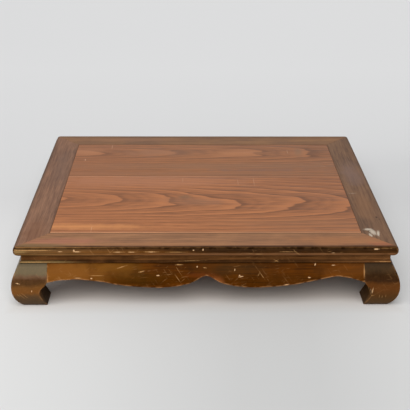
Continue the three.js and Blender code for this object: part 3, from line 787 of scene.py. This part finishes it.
# The left legs' tints are painted lighter and greyer than the right ones', most on the shoulder: a painted
# sheen of the light from the left, on top of each leg's own wear.
leg_woods = {
    "left": lacquer(
        "left legs, dark brown lacquer on upright hardwood", 2, "3c2412", "7a5430", wear=0.3, hair=0.25,
        chips=[(-378, 60.5, 3.5, 1.2, -12), (-351, 43.3, 0.9, 2.4, 0)],
        rubs_and_highlights=[(-372, 30, 9, 0.4, -50), (-366, 32, 9, 0.4, -50), (-378, 32, 5, 0.4, -50)],
        zones=knee_colours([(4, "4d4032"), (18, "4a3b2b"), (30, "543d27"), (40, "6c421c"), (51, "65401c"),
                            (60, "3c2713"), (67, "3c2615"), (73, "5a4434"), (80, "5e5541"), (96, "605845")])),
    "right": lacquer(
        "right legs, dark brown lacquer on upright hardwood", 2, "2c1a0c", "6b4526", wear=0.25, hair=0.25,
        chips=[(336.6, 43, 0.9, 7, -6)],
        rubs_and_highlights=[(337, 31, 4, 0.7, 0), (352, 28, 0.4, 5, 0), (358, 27, 0.4, 4, 0), (365, 30, 0.4, 4, 0)],
        zones=knee_colours([(4, "553f28"), (18, "503921"), (30, "4f3318"), (46, "583213"), (57, "522e10"),
                            (65, "261509"), (76, "201306"), (84, "302415"), (96, "352a1d")])),
}
for row, side_y in (("front", -1), ("back", 1)):
    for column, side_x in (("left", -1), ("right", 1)):
        node = f"{row}_{column}_leg"
        mesh = carved_leg(node + "_carved", side_x, side_y)
        mark_arrises(mesh, wear_top)
        fit(round_arrises(mesh, node + "_carved", 0.8 * MM), node, leg_woods[column])

# The studio floor: a wide flat sheet of matt pale grey paper that the table stands on.
# Its colour carries painted shade: a little darker beside and behind the table and in front of its right
# half, and a warm painted shadow under it.
floor_reach = 40
floor_corners = [(x * floor_reach, y * floor_reach, 0) for x, y in ((-1, -1), (1, -1), (1, 1), (-1, 1))]
floor_mesh = bpy.data.meshes.new("floor")
floor_mesh.from_pydata(floor_corners, [], [(0, 1, 2, 3)])
floor = bpy.data.objects.new("floor", floor_mesh)
bpy.context.scene.collection.objects.link(floor)
paper, paper_tree, paper_shader = blank("floor, matt pale grey paper")
paper_place = add(paper_tree, "ShaderNodeTexCoord").outputs["Object"]
paper_axes = add(paper_tree, "ShaderNodeSeparateXYZ", {0: paper_place}).outputs
# The paper's tone along its depth: painted shade beside and just behind the table, paler far behind it.
backward = add(paper_tree, "ShaderNodeMapRange",
               {"Value": paper_axes["Y"], "From Min": -0.6, "From Max": 2.6})
paper_tones = [(0, "dadad9"), (0.12, "dbdbda"), (0.26, "d1d1d1"), (0.37, "d5d5d5"), (0.48, "d9d9d9"),
               (0.63, "dddddd"), (1, "dfdfdf")]
paper_tone = add(paper_tree, "ShaderNodeValToRGB", {0: backward},
                 stops=[(place, srgb(code)) for place, code in paper_tones])
# Painted shade over the paper in front of the table's right half.
rightward = add(paper_tree, "ShaderNodeMapRange", {"Value": paper_axes["X"], "From Min": -1, "From Max": 1})
right_share = add(paper_tree, "ShaderNodeValToRGB", {0: rightward},
                  stops=[(0, 0), (0.27, 0.24), (0.39, 0.5), (0.53, 1), (0.6, 1), (0.7, 0.45), (1, 0)])
inward = add(paper_tree, "ShaderNodeMapRange", {"Value": paper_axes["Y"], "From Min": -1.9, "From Max": 0.1})
front_share = add(paper_tree, "ShaderNodeValToRGB", {0: inward},
                  stops=[(0, 0), (0.45, 1), (0.78, 1), (1, 0)])
shade = add(paper_tree, "ShaderNodeMath", {0: right_share, 1: front_share}, operation="MULTIPLY")
paper_tone = blend(paper_tree, shade, paper_tone, "c6c6c5")
# A warm painted shadow on the paper under the table.
warm_shadow_under = add(paper_tree, "ShaderNodeMapRange",
            {"Value": inside(paper_tree, half_length, half_depth), "From Min": -30 * MM, "From Max": 40 * MM})
paper_tree.links.new(blend(paper_tree, warm_shadow_under, paper_tone, "b5a699", 0.6), paper_shader.inputs["Base Color"])
paper_shader.inputs["Roughness"].default_value = 1
paper_shader.inputs["Specular IOR Level"].default_value = 0  # matt paper has no gloss
floor_mesh.materials.append(paper)

# Soft studio light: a broad window above and a little to the left of the camera, and a softbox low on the
# left. The room itself gives little light; past the floor's far edge the camera sees it as a pale backdrop.
room = bpy.data.worlds.new("studio")
bpy.context.scene.world = room
room.use_nodes = True
backdrop = room.node_tree.nodes["Background"]
rays = add(room.node_tree, "ShaderNodeLightPath").outputs
seen = add(room.node_tree, "ShaderNodeMath", {0: rays["Is Camera Ray"], 1: rays["Is Glossy Ray"]},
           operation="MAXIMUM")
seen = add(room.node_tree, "ShaderNodeMath", {0: seen, 1: rays["Is Transmission Ray"]}, operation="MAXIMUM")
# The room lights the table at a quarter of full strength, and is seen at three quarters.
strength = add(room.node_tree, "ShaderNodeMath", {0: seen, 1: 0.5, 2: 0.25}, operation="MULTIPLY_ADD")
backdrop.inputs["Color"].default_value = srgb("f0f2f5")
room.node_tree.links.new(strength.outputs[0], backdrop.inputs["Strength"])

window = bpy.data.lights.new("window", "SUN")
window.angle = math.radians(55)
window.energy = 3.2
window_lamp = bpy.data.objects.new("window", window)
window_fall, window_turn = math.radians(43), math.radians(-4)  # off the vertical, and to the left
window_lamp.rotation_euler = (window_fall, 0, window_turn)
bpy.context.scene.collection.objects.link(window_lamp)

softbox_place = Vector((-2.3, -1.42, 1.12))
softbox_aim = Vector((0, -0.32, 0.05))
softbox = bpy.data.lights.new("left softbox", "AREA")
softbox.shape = "RECTANGLE"
softbox.size, softbox.size_y = 1.06, 0.88
softbox.energy = 7.3
softbox.spread = math.radians(95)  # kept off the floor below it, which would otherwise burn out
softbox_lamp = bpy.data.objects.new("left softbox", softbox)
softbox_lamp.location = softbox_place
softbox_lamp.rotation_euler = (softbox_aim - softbox_place).to_track_quat("-Z", "Y").to_euler()
bpy.context.scene.collection.objects.link(softbox_lamp)

# The camera, solved from the photo: 25 degrees down, a little left of the middle and turned slightly right.
# Its focal length is in millimetres.
camera_place = (-0.0283, -1.8249, 0.9348)
pitch, yaw, roll = math.radians(25.0), math.radians(0.943), math.radians(0.371)
forward = Vector((math.sin(yaw) * math.cos(pitch), math.cos(yaw) * math.cos(pitch), -math.sin(pitch)))
level = Vector((math.cos(yaw), -math.sin(yaw), 0))
above = level.cross(forward)
right = level * math.cos(roll) + above * math.sin(roll)
up = above * math.cos(roll) - level * math.sin(roll)
lens = bpy.data.cameras.new("camera")
lens.lens = 75.66
camera = bpy.data.objects.new("camera", lens)
turned = Matrix((right, up, -forward)).transposed().to_4x4()
camera.matrix_world = Matrix.Translation(camera_place) @ turned
bpy.context.scene.collection.objects.link(camera)
bpy.context.scene.camera = camera
bpy.context.scene.view_settings.view_transform = "Standard"
